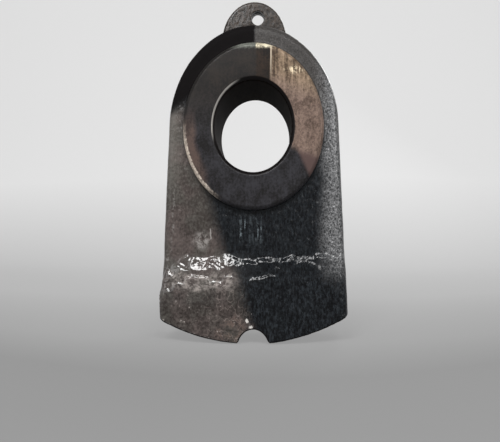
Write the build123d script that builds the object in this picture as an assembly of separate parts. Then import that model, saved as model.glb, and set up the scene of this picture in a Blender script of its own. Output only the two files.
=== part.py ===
from build123d import *
import math
import os

# Crusher hammer: one steel casting that swings on a rotor pin and strikes the rock with its tip.
# Millimetres. The origin is the centre of the pin bore, halfway through the hammer.
# X runs across the hammer, Y along the pin and Z from the tip up to the lifting lug.

# Pin bore and its boss
bore_diameter = 112.0
bore_chamfer = 4.0
boss_diameter = 205.0
boss_proud = 10.0
boss_edge_chamfer = 4.0
boss_root_chamfer = 3.0

# Shank, seen from the front: a dome round the boss, centred a little above the bore, and two flanks
# that spread down to the head
dome_radius = 127.0
dome_rise = 3.0
shank_thickness = 90.0
flank_rounding = 12.0

# Head: thicker than the shank, with its tip on a large arc that is centred a little to the left
head_thickness = 100.0
tip_half_width = 140.0
tip_drop = 268.0
tip_arc_radius = 335.0
tip_lean = 6.0
tip_chamfer = 2.5

# Shoulder where the shank thickens into the head, a little off level as it was poured
shoulder_drop = 160.0
shoulder_height = 27.0
shoulder_tilt = 2.5
shoulder_rounding = 25.0

# Folds of cast skin that lie along the shoulder on both faces
fold_count = 13
fold_length = 15.0
fold_radius = 15.0
fold_proud = 1.8
fold_sway = 6.5
fold_turn = 24.0
fold_wander = 2.4

# Half-round notch in the middle of the tip
notch_radius = 22.0
notch_depth = 18.0

# Lifting lug on the crown of the dome, with its hole a little to one side
lug_radius = 49.5
lug_thickness = 18.0
lug_sink = 8.0
lug_edge_chamfer = 3.0
lug_root_radius = 4.0
lug_hole_diameter = 18.0
lug_hole_rise = 27.0
lug_hole_offset = 5.5

# Places that follow from the sizes above
boss_width = shank_thickness + 2 * boss_proud
tip_arc_centre = tip_arc_radius - tip_drop
notch_centre = notch_depth - notch_radius - tip_drop
lug_centre = dome_rise + dome_radius - lug_sink

# An edge that lies this close to a line or surface is taken as part of it
touching = 0.02


def corner_height(side):
    """The height of the tip corner on the right (side 1) or the left (side -1)."""
    across = side * tip_half_width + tip_lean
    return tip_arc_centre - math.sqrt(tip_arc_radius**2 - across**2)


def flank_contact(side):
    """The point where a flank, drawn up from its tip corner, touches the dome."""
    height = corner_height(side) - dome_rise
    corner_angle = math.atan2(height, tip_half_width)
    touch_angle = corner_angle + math.acos(dome_radius / math.hypot(tip_half_width, height))
    return side * dome_radius * math.cos(touch_angle), dome_rise + dome_radius * math.sin(touch_angle)


def half_width(height):
    """Half the hammer's width at a height on its narrower flank, the left one."""
    touch_x, touch_z = flank_contact(-1)
    spread = (tip_half_width + touch_x) / (touch_z - corner_height(-1))
    return spread * (touch_z - height) - touch_x


def outline():
    """The hammer's front outline: dome, two tangent flanks and the tip arc."""
    left_corner = (-tip_half_width, corner_height(-1))
    right_corner = (tip_half_width, corner_height(1))
    crown = ThreePointArc(flank_contact(1), (0, dome_rise + dome_radius), flank_contact(-1))
    left = Line(flank_contact(-1), left_corner)
    tip = ThreePointArc(left_corner, (-tip_lean, -tip_drop), right_corner)
    right = Line(right_corner, flank_contact(1))
    return Plane.XZ * make_face([crown, left, tip, right])


def at_shoulder(shape):
    """Turns a shape that was made level so that it lies along the shoulder."""
    return Pos(0, 0, -shoulder_drop) * Rot(0, -shoulder_tilt, 0) * Pos(0, 0, shoulder_drop) * shape


def side_profile():
    """The hammer's thickness from crown to tip: shank, shoulder slopes and head."""
    shank = shank_thickness / 2
    head = head_thickness / 2
    top = 2 * (dome_rise + dome_radius)
    foot = -2 * tip_drop
    slope_foot = -shoulder_drop - shoulder_height
    section = Polygon(
        (shank, top),
        (shank, -shoulder_drop),
        (head, slope_foot),
        (head, foot),
        (-head, foot),
        (-head, slope_foot),
        (-shank, -shoulder_drop),
        (-shank, top),
        align=None,
    )
    bends = section.vertices().filter_by(
        lambda corner: slope_foot - touching < corner.Y < touching - shoulder_drop
    )
    return Plane.YZ * fillet(bends, shoulder_rounding)


def on_tip_arc(spot):
    """Whether a point lies on the tip's striking face."""
    return abs(math.hypot(spot.X + tip_lean, spot.Z - tip_arc_centre) - tip_arc_radius) < touching


def long_edges(body):
    """The edges of both faces round the dome and down the flanks, without those of the tip."""
    found = []
    for edge in body.edges():
        middle = edge @ 0.5
        across = abs(middle.X) < tip_half_width / 2 and middle.Z < 0
        along_pin = abs(edge.tangent_at(0.5).Y) > 1 - touching
        if not on_tip_arc(middle) and not across and not along_pin:
            found.append(edge)
    return found


def disc(radius, width):
    """A disc or drum along the pin, centred on the bore."""
    return extrude(Plane.XZ * Circle(radius), width / 2, both=True)


def blank():
    """Shank and head, with their long edges rounded."""
    plate = extrude(outline(), head_thickness, both=True)
    body = plate & at_shoulder(extrude(side_profile(), 2 * tip_half_width, both=True))
    return fillet(long_edges(body), flank_rounding)


def boss():
    """The drum round the pin bore, proud of both faces of the shank, with its rims broken."""
    drum = disc(boss_diameter / 2, boss_width)
    return chamfer(drum.edges().filter_by(GeomType.CIRCLE), boss_edge_chamfer)


def boss_roots(body):
    """The two circles where the boss rises from the shank."""
    roots = []
    for edge in body.edges().filter_by(GeomType.CIRCLE):
        on_face = abs(abs(edge.center().Y) - shank_thickness / 2) < touching
        if on_face and abs(edge.radius - boss_diameter / 2) < touching:
            roots.append(edge)
    return roots


def bore():
    """The pin bore and its two chamfered mouths, as one cutting form."""
    half = boss_width / 2
    radius = bore_diameter / 2
    section = Polygon(
        (0, -half - bore_chamfer),
        (radius + 2 * bore_chamfer, -half - bore_chamfer),
        (radius, -half + bore_chamfer),
        (radius, half - bore_chamfer),
        (radius + 2 * bore_chamfer, half + bore_chamfer),
        (0, half + bore_chamfer),
        align=None,
    )
    return revolve(section, Axis.Y)


def lug():
    """The lifting lug: a disc half sunk in the crown of the dome, with broken rims."""
    ear = disc(lug_radius, lug_thickness)
    ear = chamfer(ear.edges().filter_by(GeomType.CIRCLE), lug_edge_chamfer)
    return Pos(0, 0, lug_centre) * ear


def lug_roots(body):
    """The edges where the lug leaves the crown of the dome."""
    roots = []
    for edge in body.edges():
        middle = edge @ 0.5
        on_dome = abs(math.hypot(middle.X, middle.Z - dome_rise) - dome_radius) < touching
        if on_dome and abs(middle.Y) < lug_thickness / 2 + touching and middle.Z > 0:
            roots.append(edge)
    return roots


def lug_hole():
    """The rigging hole through the lug."""
    through = disc(lug_hole_diameter / 2, 2 * lug_thickness)
    return Pos(lug_hole_offset, 0, lug_centre + lug_hole_rise) * through


def notch():
    """The half-round notch in the middle of the tip."""
    return Pos(0, 0, notch_centre) * disc(notch_radius, 2 * head_thickness)


def tip_edges(body):
    """The rims of the tip arc and of its notch, with the corners that they turn."""
    rims = []
    for edge in body.edges():
        middle = edge @ 0.5
        in_notch = abs(math.hypot(middle.X, middle.Z - notch_centre) - notch_radius) < touching
        if on_tip_arc(middle) or in_notch:
            rims.append(edge)
    return rims


def fold(place, pitch):
    """One fold of cast skin on the front of the shoulder, counted from the middle."""
    ridge = Rot(0, 90, 0) * Cylinder(fold_radius, fold_length)
    ridge += Pos(fold_length / 2, 0, 0) * Sphere(fold_radius)
    ridge += Pos(-fold_length / 2, 0, 0) * Sphere(fold_radius)
    sunk = fold_radius - fold_proud
    up = fold_sway * math.sin(fold_wander * place)
    turn = fold_turn * math.sin(fold_wander * place / 2 + 1)
    slope = math.degrees(math.atan2((head_thickness - shank_thickness) / 2, shoulder_height))
    face = -(shank_thickness + head_thickness) / 4
    height = -shoulder_drop - shoulder_height / 2
    bed = Pos(place * pitch, face, height) * Rot(-slope, 0, 0)
    return at_shoulder(bed * Pos(0, sunk, up) * Rot(0, turn, 0) * ridge)


def folds():
    """The folds of both faces, spread evenly over the room between the rounded flanks."""
    reach = (fold_count - 1) / 2
    room = half_width(-shoulder_drop) - flank_rounding - fold_length / 2 - fold_radius
    front = [fold(step - reach, room / reach) for step in range(fold_count)]
    back = [mirror(ridge, Plane.XZ) for ridge in front]
    return front + back


def hammer():
    """The whole casting."""
    body = blank() + boss()
    body = chamfer(boss_roots(body), boss_root_chamfer)
    body = body + lug()
    body = fillet(lug_roots(body), lug_root_radius)
    body = body - bore() - lug_hole() - notch()
    body = chamfer(tip_edges(body), tip_chamfer)
    return body + folds()


os.makedirs("parts", exist_ok=True)
export_step(hammer(), "parts/hammer.step")
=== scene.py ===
import math

import bpy
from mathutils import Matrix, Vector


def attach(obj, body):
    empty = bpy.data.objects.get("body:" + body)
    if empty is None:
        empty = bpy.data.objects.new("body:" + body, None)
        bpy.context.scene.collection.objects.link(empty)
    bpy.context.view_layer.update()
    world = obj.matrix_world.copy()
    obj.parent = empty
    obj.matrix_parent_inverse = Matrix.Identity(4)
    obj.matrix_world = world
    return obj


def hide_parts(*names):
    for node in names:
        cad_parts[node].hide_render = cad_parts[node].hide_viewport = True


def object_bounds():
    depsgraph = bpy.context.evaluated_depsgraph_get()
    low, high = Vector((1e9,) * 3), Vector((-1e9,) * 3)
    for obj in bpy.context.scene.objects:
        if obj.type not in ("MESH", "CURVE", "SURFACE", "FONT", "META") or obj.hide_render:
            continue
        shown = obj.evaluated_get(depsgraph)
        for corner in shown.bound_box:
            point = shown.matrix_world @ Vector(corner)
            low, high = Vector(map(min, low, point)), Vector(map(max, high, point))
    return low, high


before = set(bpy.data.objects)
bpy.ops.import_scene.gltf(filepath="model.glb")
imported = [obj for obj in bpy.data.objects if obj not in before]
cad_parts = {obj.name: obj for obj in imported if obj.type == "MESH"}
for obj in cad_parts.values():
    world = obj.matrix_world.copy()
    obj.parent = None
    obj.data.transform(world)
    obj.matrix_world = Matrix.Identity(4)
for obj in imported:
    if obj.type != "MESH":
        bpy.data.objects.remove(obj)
cad_box = [list(corner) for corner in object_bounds()]


# The hammer: one steel casting, rough from the sand mould and painted black all over but for the ring
# round the pin bore and the bore itself, which are machined. The solid gives its form; here it gets
# the sagging skin, folds, runs and dents that a mould and thick paint leave.

class Wire:
    """A socket of a shader or geometry tree that can be reckoned with like a number."""

    def __init__(self, tree, socket=None):
        self.tree = tree
        self.socket = socket

    def node(self, kind, settings=None, inputs=None, out=0):
        """Adds a node, sets it up, feeds its sockets with values or wires, and returns one output."""
        made = self.tree.nodes.new(kind)
        for name, value in (settings or {}).items():
            if name == "stops":
                ramp = made.color_ramp.elements
                while len(ramp) < len(value):
                    ramp.new(0.5)
                for element, (place, colour) in zip(ramp, value):
                    element.position = place
                    element.color = (*colour, 1)
            else:
                setattr(made, name, value)
        for name, value in (inputs or {}).items():
            if isinstance(value, Wire):
                self.tree.links.new(value.socket, made.inputs[name])
            else:
                made.inputs[name].default_value = value
        return Wire(self.tree, made.outputs[out])

    def maths(self, operation, *values):
        """An operation on values or wires, of which this wire may be one."""
        return self.node("ShaderNodeMath", {"operation": operation}, dict(enumerate(values)))

    def __add__(self, other):
        return self.maths("ADD", self, other)

    def __sub__(self, other):
        return self.maths("SUBTRACT", self, other)

    def __rsub__(self, other):
        return self.maths("SUBTRACT", other, self)

    def __mul__(self, other):
        return self.maths("MULTIPLY", self, other)

    def __truediv__(self, other):
        return self.maths("DIVIDE", self, other)

    def __pow__(self, other):
        return self.maths("POWER", self, other)

    def __abs__(self):
        return self.maths("ABSOLUTE", self)

    __radd__ = __add__
    __rmul__ = __mul__

    def larger(self, other):
        """The larger of this and another."""
        return self.maths("MAXIMUM", self, other)

    def capped(self):
        """This, but never over 1."""
        return self.maths("MINIMUM", self, 1.0)

    def chosen(self):
        """Whether this is over a half, to choose faces by."""
        return self.maths("GREATER_THAN", self, 0.5)

    def rise(self, start, end):
        """0 up to start, 1 from end on, with a soft step between; end may be the smaller one."""
        step = {"Value": self, "From Min": start, "From Max": end}
        return self.node("ShaderNodeMapRange", {"interpolation_type": "SMOOTHSTEP"}, step)

    def ramp(self, start, end):
        """Like rise, but with a straight slope between."""
        return self.node("ShaderNodeMapRange", None, {"Value": self, "From Min": start, "From Max": end})

    def slope_down(self, edge, reach):
        """1 below an edge and 0 above it, with a straight slope as far as reach to either side."""
        return (self - edge).ramp(reach, 0 - reach)

    def near(self, middle, inner, outer):
        """1 as far as inner from a middle, 0 beyond outer, with a soft step between."""
        return abs(self - middle).rise(outer, inner)

    def mottled(self, low, high):
        """A texture about 0, lifted to lie about a half, as a soft step from low to high."""
        return (self + 0.5).rise(low, high)

    def axis(self, name):
        """One part of a vector."""
        return self.node("ShaderNodeSeparateXYZ", None, {"Vector": self}, name)

    def stretched(self, x, y, z):
        """A vector with its parts multiplied, to draw a pattern out along an axis."""
        factors = {0: self, 1: (x, y, z)}
        return self.node("ShaderNodeVectorMath", {"operation": "MULTIPLY"}, factors)

    def noise(self, grain, detail=2.0, roughness=0.5):
        """Noise about 0, from -0.5 to 0.5, whose lumps are about grain metres apart."""
        inputs = {"Vector": self, "Scale": 1 / grain, "Detail": detail, "Roughness": roughness}
        return self.node("ShaderNodeTexNoise", None, inputs) - 0.5

    def blend(self, low, high):
        """A colour that goes from low to high as this number goes from 0 to 1."""
        ends = [side if isinstance(side, Wire) else (*side, 1) for side in (low, high)]
        return self.node("ShaderNodeMix", {"data_type": "RGBA"}, {0: self, 6: ends[0], 7: ends[1]}, 2)

    def shaded(self, factor):
        """A colour or vector times a factor."""
        parts = {0: self, "Scale": factor}
        return self.node("ShaderNodeVectorMath", {"operation": "SCALE"}, parts)

    def feed(self, shader, name):
        """Links this to one of a shader's sockets."""
        self.tree.links.new(self.socket, shader.inputs[name])


def away(across, up, middle, upright=1.0):
    """The distance from a middle, seen along the pin, where upright is how much more height counts."""
    across = across - middle[0]
    up = up - middle[1]
    return (across * across + up * up * upright) ** 0.5


# The solid's own sizes and places, in metres, as far as the skin follows them. A place is how far right of
# the bore's centre and how far above it something lies. The flanks are flank_at_bore from the middle at
# the bore's height, and flank_spread further out for each metre down.
pin_centre = (0.0, 0.0)
bore_radius, mouth_radius = 0.056, 0.060
boss_radius, boss_face = 0.1025, 0.055
shank_face, head_face = 0.045, 0.050
lug_foot, lug_face = 0.1130, 0.009
lug_hole, lug_hole_radius = (0.0055, 0.149), 0.009
notch_centre, notch_radius = (0.0, -0.272), 0.022
tip_centre, tip_radius = (-0.006, 0.067), 0.335
flank_at_bore, flank_spread = 0.1272, 0.0552
shoulder_middle, shoulder_height = -0.1735, 0.027
shoulder_slant = math.tan(math.radians(2.5))

# The skin's fineness. The cast skin is sunk by most of its depth and the machined ring by a hair, so that
# no lump passes the solid's box.
skin_grain = 0.0012
skin_triangles = 190000
skin_sunk = 0.9
ring_sunk = 0.00003

# The shoulder's left end droops, and its surface steps out towards the head at these heights from its
# middle. A crest is a fold's height as a share of the fold depth.
droop_start, droop_length, droop_depth = -0.094, 0.050, 0.019
upper_edge, third_edge, lower_edge = 0.0095, -0.0090, -0.0125
softening_rounds = 20
fold_crest, wrinkle_crest, crease_crest = 0.12, 0.08, 0.12
crease_level = -0.018

tree = bpy.data.node_groups.new("cast_skin", "GeometryNodeTree")
for name, kind, value in (
    ("Geometry", "NodeSocketGeometry", None),
    ("Skin depth", "NodeSocketFloat", 0.0008),
    ("Shoulder step", "NodeSocketFloat", 0.005),
    ("Fold depth", "NodeSocketFloat", 0.0034),
    ("Run depth", "NodeSocketFloat", 0.0008),
    ("Seam height", "NodeSocketFloat", 0.0007),
    ("Paint", "NodeSocketMaterial", None),
    ("Bare metal", "NodeSocketMaterial", None),
    ("Bore", "NodeSocketMaterial", None),
):
    socket = tree.interface.new_socket(name, in_out="INPUT", socket_type=kind)
    if value is not None:
        socket.default_value = value
tree.interface.new_socket("Geometry", in_out="OUTPUT", socket_type="NodeSocketGeometry")
given = tree.nodes.new("NodeGroupInput")
start = Wire(tree)


def size(name):
    """One of the skin's named inputs."""
    return Wire(tree, given.outputs[name])


# The solid's even folds are softened first, on the left half, where the real ones run together
given_place = start.node("GeometryNodeInputPosition")
softening = given_place.axis("Z").near(shoulder_middle, 0.018, 0.030)
softening = softening * given_place.axis("X").rise(-0.010, -0.035)
soft = {"Value": given_place, "Iterations": softening_rounds, "Weight": softening}
soft = start.node("GeometryNodeBlurAttribute", {"data_type": "FLOAT_VECTOR"}, soft)
softened = start.node(
    "GeometryNodeSetPosition", None, {"Geometry": size("Geometry"), "Position": soft}
)

# What is cast and what is machined
place = start.node("GeometryNodeInputPosition")
normal = start.node("GeometryNodeInputNormal")
x, y, z = place.axis("X"), place.axis("Y"), place.axis("Z")
from_axis = away(x, z, pin_centre)
on_face = abs(y).rise(shank_face - 0.005, shank_face - 0.001)
machined = from_axis.rise(boss_radius + 0.001, boss_radius) * abs(y).rise(head_face - 0.001, head_face)
in_bore = from_axis.rise(mouth_radius + 0.0025, mouth_radius + 0.0010)
cast = (1 - machined) * (1 - in_bore)

# Lumps of three sizes all over
swell = place.noise(0.060, 1) * 1.2 + place.noise(0.018, 2) * 0.9 + place.noise(0.0055, 2, 0.6) * 0.6
swell = swell - skin_sunk

# The shoulder's steps, which take the place of the solid's one slope. They wander, most on the left.
left_share = x.rise(0.020, -0.050)
droop = (droop_start - x).rise(0.0, droop_length) * droop_depth
off_level = z - shoulder_middle - x * shoulder_slant + droop
wander = place.noise(0.035) * 0.009 + place.noise(0.010) * (0.006 + left_share * 0.004)
wander = wander + place.noise(0.019, 1) * left_share * 0.019
ragged = off_level + wander
solid_slope = (off_level - droop).slope_down(0, shoulder_height / 2)
upper = ragged.slope_down(upper_edge, 0.0035 + left_share * 0.0038)
lower = ragged.slope_down(lower_edge, x.rise(0.030, 0.060) * 0.0060 + 0.0025)
third = (ragged + place.noise(0.016) * 0.009).slope_down(third_edge, 0.0020) * left_share
settled = off_level.rise(-0.006, -0.060)
steps = upper * (0.5 + left_share * 0.70) + lower * (0.5 - left_share * 0.35) + third * 0.35
steps = (steps - solid_slope - settled * left_share * 0.70) * on_face

# Folds and wrinkles along it, and flat creases below it on the left
in_band = abs(ragged).rise(0.021, 0.014) * on_face
crumple = place.stretched(0.7, 1, 1.3).noise(0.0080, 2, 0.5)
wrinkle = place.noise(0.0050, 2, 0.6)
folds = (fold_crest - abs(crumple)) * (0.5 - left_share * 0.12)
folds = folds + (wrinkle_crest - abs(wrinkle)) * left_share * 0.28
folds = folds * in_band
from_creases = off_level - crease_level
below_band = from_creases.rise(0.014, 0.008) * from_creases.rise(-0.018, -0.006)
creases = crease_crest - abs(place.stretched(0.35, 1, 1.5).noise(0.0060, 2, 0.5))
creases = creases * below_band * left_share * on_face
folds = folds + creases * 0.9

# Runs of paint down the right half, and the flash line where the mould's halves met
runs = place.stretched(1, 1, 0.22).noise(0.0045, 2, 0.5) * on_face * x.rise(-0.03, 0.05)
seam = abs(y + place.noise(0.040) * 0.004).rise(0.0016, 0.0004) * z.rise(-0.25, -0.22)

lift = swell * size("Skin depth") + folds * size("Fold depth") + runs * size("Run depth")
lift = lift + steps * size("Shoulder step")
lift = (lift + seam * size("Seam height")) * cast - machined * ring_sunk
moved = start.node(
    "GeometryNodeSetPosition", None, {"Geometry": softened, "Offset": normal.shaded(lift)}
)
joined = start.node("GeometryNodeRealizeInstances", None, {"Geometry": moved})
wall = from_axis.rise(bore_radius + 0.0020, bore_radius + 0.0015)
wall = wall * abs(y).rise(boss_face - 0.0032, boss_face - 0.0036)
painted = {"Geometry": joined, "Material": size("Paint")}
painted = start.node("GeometryNodeSetMaterial", None, painted)
dressed = {"Geometry": painted, "Selection": machined.chosen(), "Material": size("Bare metal")}
dressed = start.node("GeometryNodeSetMaterial", None, dressed)
bored = {"Geometry": dressed, "Selection": wall.chosen(), "Material": size("Bore")}
bored = start.node("GeometryNodeSetMaterial", None, bored)
result = tree.nodes.new("NodeGroupOutput")
tree.links.new(bored.socket, result.inputs["Geometry"])


def surface(name):
    """A new material: its Principled shader, a first wire in its tree, and itself."""
    material = bpy.data.materials.new(name)
    material.use_nodes = True
    shader = material.node_tree.nodes["Principled BSDF"]
    return material, shader, Wire(material.node_tree)


# The hammer's paint: black and thick, and glossiest where it lies over the shoulder. Painted sunlight makes
# it brown on the left, and painted sunlight and sheen make it grey on the right rim and flank. It has runs,
# dust, a scuff, rust and chips. The sunlight's clear edge, the grey rim, the dust, the bare tip and the
# crown's painted shade are on the front only and fade out towards the back.
jet, blue_black, slate = (0.001, 0.0012, 0.002), (0.024, 0.029, 0.034), (0.052, 0.062, 0.070)
umber, olive_brown, red_brown = (0.036, 0.029, 0.026), (0.104, 0.097, 0.086), (0.117, 0.094, 0.087)
moss = (0.138, 0.132, 0.116)
# Some of these colours stand for painted light: sunlit grey and sheen on the rim and flank, shade at the
# lug's hole and the crown, and glints on the runs, on a short line by the dust, on the scuff and along the
# flank's rounding.
sunlit_rim_dark, sunlit_rim_light = (0.014, 0.012, 0.011), (0.072, 0.066, 0.062)
sheen_grey_dark, sheen_grey_light, glint_speck = (0.020, 0.021, 0.022), (0.29, 0.29, 0.295), (0.60, 0.60, 0.62)
lug_dark, lug_light, hole_shade_black = (0.007, 0.006, 0.005), (0.062, 0.045, 0.035), (0.002, 0.002, 0.002)
run_glint_grey, dust_and_glint_grey, scuff_and_sheen_grey = (0.13, 0.155, 0.17), (0.30, 0.28, 0.265), (0.36, 0.32, 0.295)
rust_brown, crackle_tan, fillet_glint_grey = (0.128, 0.088, 0.072), (0.25, 0.21, 0.19), (0.20, 0.19, 0.18)
bare_edge, bare_chip, bare_flake = (0.46, 0.43, 0.41), (0.48, 0.43, 0.40), (0.62, 0.59, 0.56)
shade_black = (0.004, 0.0032, 0.0034)

sunlight_edge_place, sunlight_edge_lean = (-0.064, -0.0957), 0.325
left_run_place, right_run_place, run_patch_place = (-0.0139, -0.128), (0.0075, -0.128), (-0.003, -0.127)
dust_place, glint_line_place, rust_place = (-0.076, -0.141), (-0.0625, -0.1315), (-0.034, -0.256)
scuff_and_sheen_level, crease_paint_level, shade_top = -0.1895, -0.195, 0.1400
fillet_glint_inset = 0.0145
dent_depth = 0.0012
chipped_place = (-0.010, -0.243)
flake_places = ((-0.0089, -0.2383), (-0.0031, -0.2460))

paint, gloss, wire = surface("black_paint_on_cast_skin")
spot = wire.node("ShaderNodeTexCoord", out="Object")
sx, sy, sz = spot.axis("X"), spot.axis("Y"), spot.axis("Z")
front = sy.rise(0.005, -0.030)

# Textures from coarse to fine; stray makes the edges of the marks wander
stray = spot.noise(0.05) * 0.06 + spot.noise(0.012) * 0.015
clots = spot.noise(0.011, 2, 0.6)
pitted = spot.noise(0.0036, 3, 0.7)
hammered = spot.stretched(1, 1, 0.45).noise(0.0024, 3, 0.75)
grains = spot.noise(0.0021, 3, 0.7)

# Black, with paler grains towards the tip
worn = (sz + stray * 0.8).rise(-0.175, -0.205)
black = (hammered * (2.6 + worn * 1.6)).mottled(0.1, 1.4).blend(jet, blue_black)
black = (grains.rise(0.13, 0.24) * (0.25 + worn * 0.55)).blend(black, slate)

# Painted sunlight: brown on the left of a slanted edge and below the dome's crown, and the black beside it
# stands for the same paint in shade. On the back the brown lies in dusty patches.
sunlight_edge = (sunlight_edge_place[1] - sz) * sunlight_edge_lean + sunlight_edge_place[0]
sunlight_edge = sunlight_edge + sz.rise(-0.150, -0.178) * 0.0105
below_dome = (sz - sx * 0.5 + stray * 0.3).rise(0.092, 0.074)
painted_sun_and_dust = (sx + stray * 0.08 - sunlight_edge).rise(0.013, -0.013) * below_dome
dusty_back = spot.noise(0.070, 3).rise(-0.15, 0.20) * 0.75
painted_sun_and_dust = dusty_back + (painted_sun_and_dust - dusty_back) * front
mottle = pitted * (1.6 + worn * 0.6) + clots * worn * 1.2 + spot.noise(0.03) * 0.8
sunlit_brown = spot.noise(0.028, 1).rise(-0.13, 0.13).blend(olive_brown, red_brown)
sunlit_brown = mottle.mottled(0.0, 1.1).blend(umber, sunlit_brown)
sunlit_brown = sunlit_brown.shaded(1.0 + sz.rise(-0.100, 0.000) * 0.14 - worn * 0.10)
mossy = sx.rise(-0.098, -0.122) * sz.rise(-0.110, -0.020) * (0.5 + grains * 1.5)
sunlit_brown = mossy.blend(sunlit_brown, moss)
coat = painted_sun_and_dust.blend(black, sunlit_brown)

# Painted sunlight in grey on the dome's right rim, and a painted sheen with glints down the right flank
sunlit_rim = (sx + stray * 0.15).rise(0.000, 0.003) * (sz + sx * 0.9 + stray * 0.3).rise(0.085, 0.105) * front
sunlit_rim_coat = (grains * 2.2 + pitted * 0.6).mottled(0.0, 1.2).blend(sunlit_rim_dark, sunlit_rim_light)
coat = sunlit_rim.blend(coat, sunlit_rim_coat)
from_flank = flank_at_bore - sz * flank_spread - abs(sx)
sheen_band = (sx + stray * 0.3).rise(0.088, 0.119) * (0.4 + front * from_flank.rise(0.000, 0.009) * 0.6)
sheen_band = sheen_band * (sz + stray).rise(-0.20, -0.14)
sheen_grey = (grains * 2.8 + pitted * 1.4).mottled(0.0, 1.2).blend(sheen_grey_dark, sheen_grey_light)
sheen_grey = (grains + clots * 0.3).rise(0.17, 0.24).blend(sheen_grey, glint_speck)
coat = sheen_band.blend(coat, sheen_grey)

# The lug, brown as painted sunlight, and painted shade round the edge of its hole
on_lug = (sz - lug_foot + abs(sx) * 0.08).rise(0.002, 0.008)
on_lug = on_lug * abs(sy).rise(lug_face + 0.003, lug_face + 0.001)
sunlit_lug_coat = (pitted * 2.2 + clots).mottled(0.0, 1.2).blend(lug_dark, lug_light)
coat = on_lug.blend(coat, sunlit_lug_coat)
lug_hole_shade = away(sx, sz, lug_hole).rise(lug_hole_radius + 0.0012, lug_hole_radius + 0.0002)
coat = lug_hole_shade.blend(coat, hole_shade_black)

# Runs below the boss: two, in a fainter patch. The runs are real, and their pale grey is a painted
# highlight.
trickle_glints = abs(spot.stretched(1, 1, 0.06).noise(0.0046, 2, 0.6)).rise(0.055, 0.005)
trickle_glints = trickle_glints * (pitted * 2.5 + clots * 1.5).mottled(0.15, 0.75)
left_run = sx.near(left_run_place[0], 0.0040, 0.0075) * sz.near(left_run_place[1], 0.012, 0.016)
right_run = sx.near(right_run_place[0], 0.0035, 0.0065) * sz.near(right_run_place[1], 0.009, 0.012)
run_patch = (abs(sz - run_patch_place[1]) + stray * 0.2).rise(0.023, 0.014)
run_patch = run_patch * sx.near(run_patch_place[0], 0.014, 0.020)
coat = (trickle_glints * (left_run + right_run * 0.7 + run_patch * 0.25)).blend(coat, run_glint_grey)

# A dusty spot, with a painted glint as a short pale line beside it
dust_and_glint = (away(sx, sz, dust_place, 1.4) + stray * 0.22).rise(0.019, 0.005)
dust_and_glint = dust_and_glint * (grains * 2.0 + clots * 3.0).mottled(0.1, 0.9)
glint_line = (sx + clots * 0.004).near(glint_line_place[0], 0.0004, 0.0014)
glint_line = glint_line * sz.near(glint_line_place[1], 0.005, 0.008)
dust_and_glint = dust_and_glint.larger(glint_line) * sy.rise(0.0, -0.03)
coat = (dust_and_glint * 0.85).blend(coat, dust_and_glint_grey)

# A scuff under the shoulder's left half, made lighter by a painted sheen on its creases
scuff_and_sheen = (sz + stray * 0.3).near(scuff_and_sheen_level, 0.006, 0.016) * (sx + stray * 0.3).rise(-0.020, -0.040)
scuff_and_sheen = scuff_and_sheen * (spot.stretched(0.7, 1, 1.2).noise(0.0042, 3, 0.7) * 3.6).mottled(0.1, 1.1)
scuff_and_sheen = scuff_and_sheen * (sx + stray * 0.3).rise(-0.132, -0.112) * (0.75 + clots * 1.2)
coat = scuff_and_sheen.blend(coat, scuff_and_sheen_grey)

# Rust and crackled paint near the tip, and bare metal at its edge
rust = (away(sx, sz, rust_place) + stray * 0.3).rise(0.030, 0.012)
rust = rust * (clots * 2 + pitted * 2).mottled(0.4, 0.9)
coat = (rust * 0.6).blend(coat, rust_brown)
crackle = abs(spot.noise(0.017, 2, 0.5)).rise(0.014, 0.004) * worn * painted_sun_and_dust
coat = (crackle * (sx + stray).rise(-0.075, -0.050) * 0.45).blend(coat, crackle_tan)
from_tip_centre = away(sx, sz, tip_centre)
tip_edge = (from_tip_centre + stray * 0.03).rise(tip_radius - 0.0040, tip_radius - 0.0020) * painted_sun_and_dust
tip_edge = tip_edge * front * (grains * 3 + clots).mottled(0.55, 1.0)
coat = (tip_edge * 0.9).blend(coat, bare_edge)

# A painted highlight along the brown flank's rounding, chips near the tip, and two larger flakes above the
# notch
fillet_glints = (from_flank + spot.noise(0.014) * 0.008).near(fillet_glint_inset, 0.0006, 0.0020)
fillet_glints = fillet_glints * (pitted * 4).mottled(0.3, 0.9)
fillet_glints = fillet_glints * painted_sun_and_dust * sz.rise(-0.06, -0.09) * sz.rise(-0.165, -0.145)
coat = (fillet_glints * 0.6).blend(coat, fillet_glint_grey)
near_notch = (abs(sx - chipped_place[0]) + abs(sz - chipped_place[1])).rise(0.030, 0.012) * 0.8
flaking = worn * painted_sun_and_dust * 0.8 + rust + near_notch
chips = (clots * 1.1 + grains * 1.6).rise(0.34, 0.44) * flaking.capped()
coat = chips.blend(coat, bare_chip)
for flake_place in flake_places:
    flake = (away(sx, sz, flake_place) + pitted * 0.006).rise(0.0030, 0.0014) * front
    coat = flake.blend(coat, bare_flake)
coat.feed(gloss, "Base Color")

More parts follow.
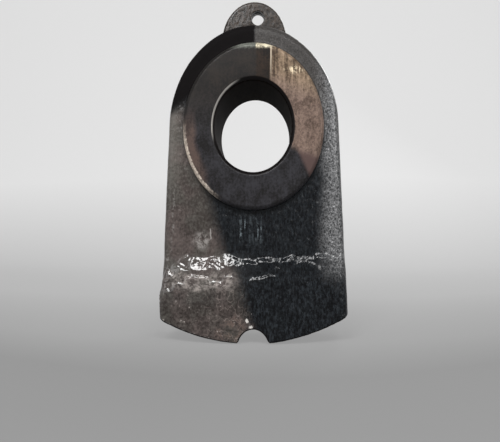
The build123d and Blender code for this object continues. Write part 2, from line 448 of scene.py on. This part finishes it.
# Gloss: thick on the shoulder's left half, in shards on its right half, and thinner on the creases below
# it and on the grey flank
level = sz - sx * shoulder_slant + stray * 0.1
glossy_band = level.near(shoulder_middle, 0.016, 0.024)
left_half = sx.rise(0.020, -0.050)
creased = level.near(crease_paint_level, 0.014, 0.026) * left_half
shards = (spot.stretched(0.6, 1, 1).noise(0.0065, 2, 0.6) * 4).mottled(0.15, 0.75) * 0.20
whole = (spot.noise(0.0085, 3, 0.6) * 4).mottled(-0.45, 0.05)
thick_coat = glossy_band * (shards + left_half * (whole - shards)) + creased * 0.6 + sheen_band * 0.3
thick_coat.capped().feed(gloss, "Coat Weight")
dull = 0.28 + spot.noise(0.03, 3) * 0.14 + pitted * 0.16 - glossy_band * 0.12
dull = dull + sunlit_rim * (1 - sheen_band) * 0.2
dull.feed(gloss, "Roughness")
gloss.inputs["Coat Roughness"].default_value = 0.08
gloss.inputs["Specular IOR Level"].default_value = 0.25
dents = spot.stretched(1, 1, 0.5).noise(0.0042, 1, 0.5) + spot.noise(0.0065, 1, 0.5) * 0.8
grit = dents * (1 - glossy_band * 0.85) * (1 + sheen_band * 0.4) * (1 - on_lug * 0.7)
grit = grit * (1 - sunlit_rim * (1 - sheen_band) * 0.7)
bump = wire.node("ShaderNodeBump", None, {"Strength": 1.0, "Distance": dent_depth, "Height": grit})
bump.feed(gloss, "Normal")

# Painted shade in matt black on the left of the dome's crown, on the striking face and in the notch
shade_shader = wire.tree.nodes.new("ShaderNodeBsdfPrincipled")
shade_shader.inputs["Base Color"].default_value = (*shade_black, 1)
shade_shader.inputs["Roughness"].default_value = 0.7
shade_shader.inputs["Specular IOR Level"].default_value = 0.06
painted_shade = (sx + stray * 0.05).rise(0.004, 0.000) * (1 - below_dome) * front
painted_shade = painted_shade * (sz - shade_top - sx * 0.11 + stray * 0.03).rise(0.001, -0.002)
in_notch = away(sx, sz, notch_centre).rise(notch_radius + 0.0032, notch_radius + 0.0022)
struck = from_tip_centre.rise(tip_radius - 0.0032, tip_radius - 0.0022).larger(in_notch)
painted_shade = painted_shade.larger(struck * 0.85)
both = {0: painted_shade, 1: Wire(wire.tree, gloss.outputs[0]), 2: Wire(wire.tree, shade_shader.outputs[0])}
covered = wire.node("ShaderNodeMixShader", None, both)
covered.feed(wire.tree.nodes["Material Output"], "Surface")


# The boss's machined ring: bare steel with fine upright streaks, dark, and on the front's left and bottom
# that darkness is painted shade. The right of its front is painted sunlight, copper-coloured and golden
# towards the top, and painted highlights make its edge pale at the crown and at the lower left.
# Some of these colours stand for painted light: sunlight in the flush, the wedge, the copper and gold, shade
# in the blacks of the ring's edge and the mouth, and highlights in the yellow glint and at the crown and
# edges.
steel_black, steel_blue, steel_brown = (0.013, 0.012, 0.012), (0.038, 0.037, 0.042), (0.025, 0.021, 0.018)
dark_strip_low, dark_strip_high = (0.008, 0.006, 0.005), (0.030, 0.019, 0.013)
sunlit_flush_brown, sunlit_wedge_brown = (0.098, 0.068, 0.058), (0.105, 0.068, 0.062)
sunlit_copper_dark, sunlit_copper_light = (0.062, 0.042, 0.033), (0.288, 0.205, 0.166)
sunlit_golden_dark, sunlit_golden_light = (0.046, 0.030, 0.019), (0.325, 0.235, 0.160)
gold_glint_yellow, highlight_line_gold = (0.80, 0.66, 0.46), (0.60, 0.50, 0.38)
rim_shade_black, crescent_highlight_pale = (0.010, 0.009, 0.008), (0.66, 0.57, 0.48)
crown_highlight_green, crown_highlight_gold = (0.150, 0.158, 0.138), (0.72, 0.65, 0.48)
mouth_shade_black, mouth_highlight_pale = (0.006, 0.005, 0.005), (0.31, 0.295, 0.275)

sunlit_foot, sunlit_foot_lean = (0.056, -0.0255), 0.3
gold_glint_place, highlight_peak_place = (0.0595, 0.0685), (0.0195, 0.0985)
highlight_line_x = 0.0255

steel, shine, wire = surface("machined_steel")
spot = wire.node("ShaderNodeTexCoord", out="Object")
sx, sy, sz = spot.axis("X"), spot.axis("Y"), spot.axis("Z")
front = sy.rise(0.020, -0.020)
from_pin = away(sx, sz, pin_centre)
streaks = spot.stretched(1, 1, 0.05).noise(0.0024, 3, 0.6)
smears = spot.stretched(1, 1, 0.16).noise(0.0052, 2, 0.6)
cloud = spot.noise(0.020, 3)
speckle = spot.noise(0.0028, 3, 0.7)
texture = (cloud * 1.5 + speckle * 1.8 + streaks * 0.6).mottled(0.0, 1.0)

# The dark steel, with a dark strip at the top, and painted sunlight in brown as a flush at its left edge and
# as a wedge at the lower right, under the sunlit part
dark_high = sz.rise(-0.030, 0.060).blend(steel_blue, steel_brown)
dark = texture.blend(steel_black, dark_high)
dark_top_strip = sx.rise(0.0035, 0.0060) * sz.rise(0.040, 0.070) * (0.85 + speckle) * front
dark = dark_top_strip.blend(dark, texture.blend(dark_strip_low, dark_strip_high))
sunlit_flush = (from_pin + cloud * 0.012).rise(0.080, 0.092) * sx.rise(-0.060, -0.078)
sunlit_flush = sunlit_flush * sz.rise(0.030, -0.010) * front
dark = (sunlit_flush * (0.4 + texture * 0.8)).blend(dark, sunlit_flush_brown)
sunlit_wedge = (sz + sx * 1.94 + cloud * 0.01).rise(0.088, 0.104) * sz.rise(-0.015, -0.025)
dark = (sunlit_wedge * front * 0.85).blend(dark, sunlit_wedge_brown)

# The sunlit part, painted copper-coloured, with smears, a painted gold glint and a painted highlight line
# down its left edge
sunlit_part = (sx + spot.noise(0.05) * 0.003).rise(0.0236, 0.0250) * front
above_foot = sz - sunlit_foot[1] + (sx - sunlit_foot[0]) * sunlit_foot_lean + cloud * 0.008
sunlit_part = sunlit_part * above_foot.rise(-0.007, 0.006)
streaky = (sz + sx * 0.3).rise(0.055, 0.080) * sx.rise(0.095, 0.045)
metal = smears * (0.4 + streaky * 1.4) + streaks * 0.4 + cloud * 0.8 + speckle * 1.3
golden = (sz + sx * 0.3).rise(0.050, 0.085)
sunlit_low = golden.blend(sunlit_copper_dark, sunlit_golden_dark)
sunlit_high = golden.blend(sunlit_copper_light, sunlit_golden_light)
sunlit_copper = metal.mottled(0.0, 1.1).blend(sunlit_low, sunlit_high)
gold_glint = abs(sx - gold_glint_place[0]) * 0.50 + abs(sz - gold_glint_place[1]) * 1.4 + speckle * 0.02
gold_glint = gold_glint.rise(0.0110, 0.0050) * (streaks + speckle).mottled(0.38, 0.68)
sunlit_copper = gold_glint.blend(sunlit_copper, gold_glint_yellow)
highlight_line = (sx + cloud * 0.002).near(highlight_line_x, 0.0004, 0.0014) * sz.rise(0.055, 0.070)
sunlit_copper = (highlight_line * (0.35 + sz.rise(0.065, 0.085) * 0.35)).blend(sunlit_copper, highlight_line_gold)
tint = sunlit_part.blend(dark, sunlit_copper)

# The ring's outer edge: painted shade at the upper left, and painted highlights as a pale crescent at the
# lower left and at the crown
on_rim = (from_pin + speckle * 0.003).rise(boss_radius - 0.0057, boss_radius - 0.0039)
shaded_rim = on_rim * sx.rise(-0.010, -0.040) * sz.rise(-0.010, 0.030)
tint = (shaded_rim * 0.8).blend(tint, rim_shade_black)
crescent_highlight = (0 - sx * 0.86 - sz * 0.51).rise(0.079, 0.0995) * (sx + 0.030).rise(-0.012, -0.035)
tint = (on_rim * crescent_highlight * front * (0.75 + speckle * 2.8 + cloud)).blend(tint, crescent_highlight_pale)
crown_highlight = (sz + speckle * 0.004).rise(0.0925, 0.0985) * sx.rise(-0.042, -0.016) * front
crown_highlight_left = crown_highlight * sx.rise(0.0050, 0.0030)
crown_highlight_right = crown_highlight * sx.rise(0.0030, 0.0050) * sx.rise(0.034, 0.024)
tint = (crown_highlight_left * (0.8 + speckle * 2)).blend(tint, crown_highlight_green)
highlight_peak = (abs(sx - highlight_peak_place[0]) + abs(sz - highlight_peak_place[1])).rise(0.0065, 0.0020)
tint = (crown_highlight_right * (0.55 + speckle * 3 + highlight_peak * 0.8)).blend(tint, crown_highlight_gold)

# The bore's mouth: dark as painted shade, with a painted highlight on its left side
mouth = from_pin.rise(mouth_radius + 0.0008, mouth_radius)
mouth_highlight = (sz * 0.5 - sx).rise(0.045, 0.060) * sz.rise(-0.035, -0.005)
mouth_highlight = mouth_highlight * from_pin.rise(bore_radius + 0.0017, bore_radius + 0.0029)
tint = mouth.blend(tint, mouth_highlight.blend(mouth_shade_black, mouth_highlight_pale))
tint.feed(shine, "Base Color")
shine.inputs["Metallic"].default_value = 0.1
shine.inputs["Roughness"].default_value = 0.34
shine.inputs["Specular IOR Level"].default_value = 0.14


# The bore: machined to the pin's size, and dulled since by a thin dark oxide with faint lines along the
# pin. Its left wall is a little lighter, which is painted light.
oxide_dark, oxide_light, lit_wall_grey = (0.003, 0.0018, 0.0012), (0.009, 0.0055, 0.004), (0.030, 0.027, 0.027)
bore_skin, bore_gloss, wire = surface("oxide_in_bore")
spot = wire.node("ShaderNodeTexCoord", out="Object")
oxide = (spot.stretched(1, 0.2, 1).noise(0.004, 3) * 2).mottled(0.0, 1.0)
oxide = oxide.blend(oxide_dark, oxide_light)
# The left wall's lighter grey is painted light, as if lit from the right.
lit_wall = spot.axis("X").rise(-0.030, -0.056) * 0.8
lit_wall.blend(oxide, lit_wall_grey).feed(bore_gloss, "Base Color")
bore_gloss.inputs["Roughness"].default_value = 0.75
bore_gloss.inputs["Specular IOR Level"].default_value = 0.03


def added(name, data):
    """A new object in the scene."""
    piece = bpy.data.objects.new(name, data)
    bpy.context.scene.collection.objects.link(piece)
    return piece


def settle(piece):
    """Makes what a piece's modifiers give into its own plain mesh."""
    made = bpy.data.meshes.new_from_object(piece.evaluated_get(bpy.context.evaluated_depsgraph_get()))
    piece.modifiers.clear()
    piece.data = made


# The casting's mesh: the solid, closed up, given an even skin, shaped, and thinned where it is flat
weld_gap = 0.00002
casting = added("casting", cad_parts["hammer"].data.copy())
weld = casting.modifiers.new("weld", "WELD")
weld.merge_threshold = weld_gap
grid = casting.modifiers.new("even_skin", "REMESH")
grid.mode = "VOXEL"
grid.voxel_size = skin_grain
skin = casting.modifiers.new("cast_skin", "NODES")
skin.node_group = tree
sockets = {item.name: item.identifier for item in tree.interface.items_tree if item.in_out == "INPUT"}
skin[sockets["Paint"]] = paint
skin[sockets["Bare metal"]] = steel
skin[sockets["Bore"]] = bore_skin
settle(casting)
casting.data.shade_smooth()
thin = casting.modifiers.new("thin", "DECIMATE")
thin.ratio = skin_triangles / (2 * len(casting.data.polygons))
casting.modifiers.new("flat_faces_stay_flat", "WEIGHTED_NORMAL")
settle(casting)
casting.data.name = "casting"
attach(casting, "root")
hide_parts("hammer")


# The stage: a pale floor that sweeps up into a backdrop and grows lighter the further back it lies. Most
# of its brightness is its own, so that the hammer's shadow on it stays light.
floor_level = cad_box[0][2]
floor_start, wall_start, wall_top, half_span = -3.0, 1.2, 5.0, 8.0
sweep_radius, sweep_steps = 1.0, 24
profile = [(floor_start, 0.0)]
for step in range(sweep_steps + 1):
    turn = math.pi / 2 * step / sweep_steps
    profile.append((wall_start + sweep_radius * math.sin(turn), sweep_radius * (1 - math.cos(turn))))
profile.append((wall_start + sweep_radius, wall_top))
corners = [(side * half_span, y0, floor_level + z0) for y0, z0 in profile for side in (-1, 1)]
faces = [(2 * i, 2 * i + 1, 2 * i + 3, 2 * i + 2) for i in range(len(profile) - 1)]
sheet = bpy.data.meshes.new("backdrop")
sheet.from_pydata(corners, [], faces)
sheet.shade_smooth()
backdrop = added("backdrop", sheet)


def seen_directly(wire):
    """1 for what the camera sees, in gloss and through glass too, and 0 for what only lights things."""
    seen = wire.node("ShaderNodeLightPath", out="Is Camera Ray")
    seen = seen + wire.node("ShaderNodeLightPath", out="Is Glossy Ray")
    seen = seen + wire.node("ShaderNodeLightPath", out="Is Transmission Ray")
    return seen.capped()


card, matt, wire = surface("pale_card")
spot = wire.node("ShaderNodeTexCoord", out="Object")
nearest, farthest, height_counts = -0.21, 3.32, 3.0
glow_share = 0.75
depth = spot.axis("Y") + (spot.axis("Z") - floor_level) * height_counts
greys = [(0.0, 0.31), (0.045, 0.385), (0.18, 0.51), (0.40, 0.585), (1.0, 0.86)]
ramp = {"stops": [(at, (sheen_grey, sheen_grey, sheen_grey)) for at, sheen_grey in greys]}
card_grey = wire.node("ShaderNodeValToRGB", ramp, {"Fac": (depth - nearest) / (farthest - nearest)})
card_grey.feed(matt, "Base Color")
matt.inputs["Roughness"].default_value = 0.9
matt.inputs["Specular IOR Level"].default_value = 0.0
glow = wire.node("ShaderNodeEmission", None, {"Color": card_grey, "Strength": 1.0})
shares = {0: seen_directly(wire) * glow_share, 1: Wire(wire.tree, matt.outputs[0]), 2: glow}
mixed = wire.node("ShaderNodeMixShader", None, shares)
mixed.feed(wire.tree.nodes["Material Output"], "Surface")
sheet.materials.append(card)


# The light: soft boxes in front, at both sides and behind, in a dim even room. The strongest stands high
# in front, a little to the left, and its reflection makes the glints on the shoulder.
def soft_box(name, place, size, power):
    """A square soft lamp aimed at the hammer."""
    lamp = bpy.data.lights.new(name, "AREA")
    lamp.size = size
    lamp.energy = power
    box = added(name, lamp)
    box.location = place
    box.rotation_euler = (-box.location).to_track_quat("-Z", "Y").to_euler()
    box.visible_camera = False


soft_box("key", place=(0.45, -1.3, 1.1), size=0.5, power=9)
soft_box("spark", place=(-0.35, -1.2, 1.0), size=0.6, power=17)
soft_box("left", place=(-1.6, -1.1, 0.4), size=1.2, power=7)
soft_box("right", place=(1.1, -1.2, 0.4), size=0.6, power=7)
soft_box("rear", place=(0.9, 1.5, 1.2), size=0.8, power=12)
room_light, room_shine = 0.25, 0.13
room = bpy.data.worlds.new("room")
room.use_nodes = True
air = room.node_tree.nodes["Background"]
air.inputs["Color"].default_value = (1, 1, 1, 1)
(seen_directly(Wire(room.node_tree)) * room_shine + room_light).feed(air, "Strength")
bpy.context.scene.world = room
bpy.context.scene.view_settings.view_transform = "Standard"


# The camera: level, a little right of the bore and below it, as the photograph was taken. That picture is
# squeezed sideways, with fewer pixels to a radian across than up. The cylindrical lens has both scales,
# so the picture is squeezed alike and the hammer keeps its true form.
picture_width, picture_height = 500, 442
across_scale, up_scale = 469, 553
level_row, square_column = 235, 271
eye_place = (0.0258, -0.726, -0.1329)
eye = bpy.data.cameras.new("eye")
eye.type = "PANO"
eye.panorama_type = "CENTRAL_CYLINDRICAL"
eye.central_cylindrical_range_u_min = -picture_width / 2 / across_scale
eye.central_cylindrical_range_u_max = picture_width / 2 / across_scale
eye.central_cylindrical_range_v_min = (level_row - picture_height) / up_scale
eye.central_cylindrical_range_v_max = level_row / up_scale
camera = added("camera", eye)
camera.location = eye_place
camera.rotation_euler = (math.pi / 2, 0, (square_column - picture_width / 2) / across_scale)
bpy.context.scene.camera = camera
